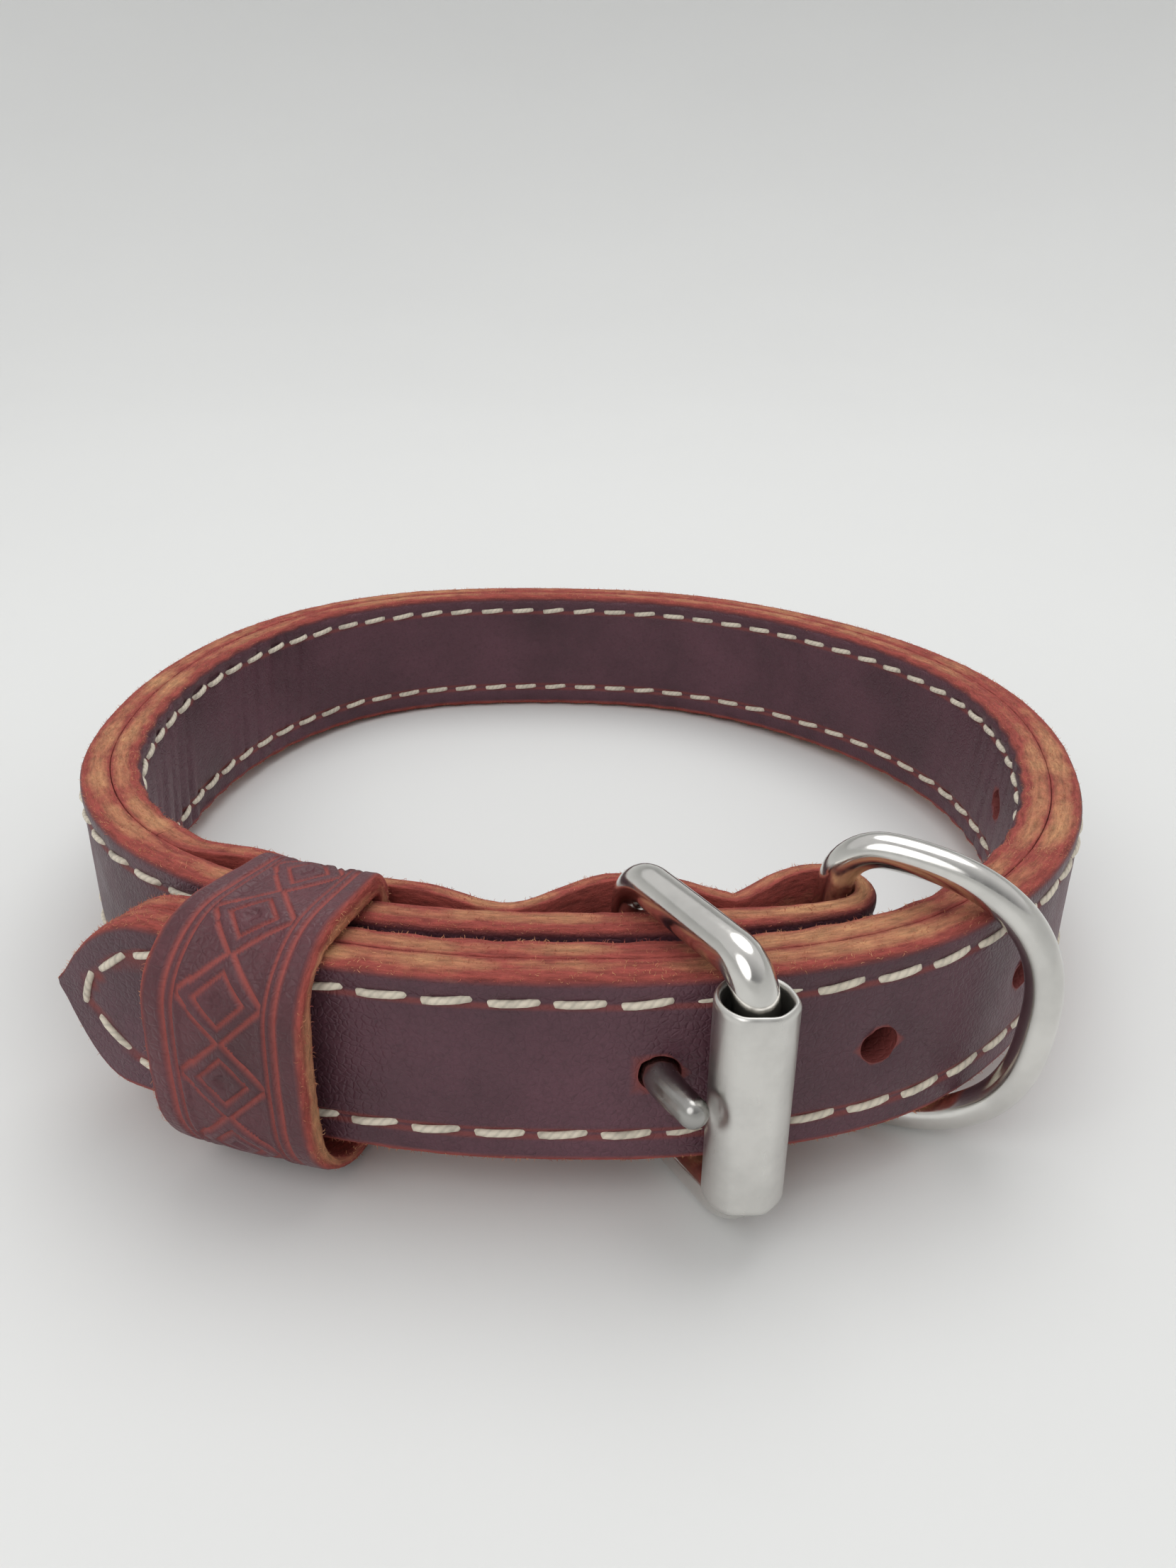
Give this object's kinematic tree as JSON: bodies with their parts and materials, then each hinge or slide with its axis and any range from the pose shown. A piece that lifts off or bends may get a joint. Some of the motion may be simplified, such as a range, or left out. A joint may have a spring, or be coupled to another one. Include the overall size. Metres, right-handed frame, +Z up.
{
  "type": "buckled dog collar",
  "caption": "Two-ply leather dog collar, buckled: roller buckle, punched strap with pointed end, wide leather keeper and a D-ring for the leash.",
  "frame": {"origin": "centre of the bounding box's bottom, on the surface the collar rests on", "axes": "+Z up, -Y towards the buckle, +X towards the D-ring"},
  "size_m": [0.157, 0.167, 0.04],
  "materials": {
    "strap_leather": "smooth waxed grain, burgundy",
    "lining_leather": "smooth waxed grain, burgundy",
    "keeper_leather": "tooled grain, reddish brown",
    "polished_steel": "polished",
    "brushed_steel": "brushed, nickel-plated"
  },
  "bodies": {
    "collar": {"strap_outer_ply": "strap_leather", "strap_inner_ply": "lining_leather", "keeper": "keeper_leather", "buckle_frame": "polished_steel", "buckle_tongue": "polished_steel"},
    "roller": {"buckle_roller": "brushed_steel"},
    "leash_ring": {"d_ring": "polished_steel"}
  },
  "joints": [
    {"name": "roller_spin", "type": "hinge", "parent": "collar", "child": "roller", "pos_m": [0.01938, -0.07834, 0.0203], "axis": [-0.0035, 0.0467, 0.9989], "continuous": true},
    {"name": "ring_swing", "type": "hinge", "parent": "collar", "child": "leash_ring", "pos_m": [0.03113, -0.05351, 0.02028], "axis": [0.0786, 0.0768, 0.9939], "range_deg": [-60, 0]}
  ]
}
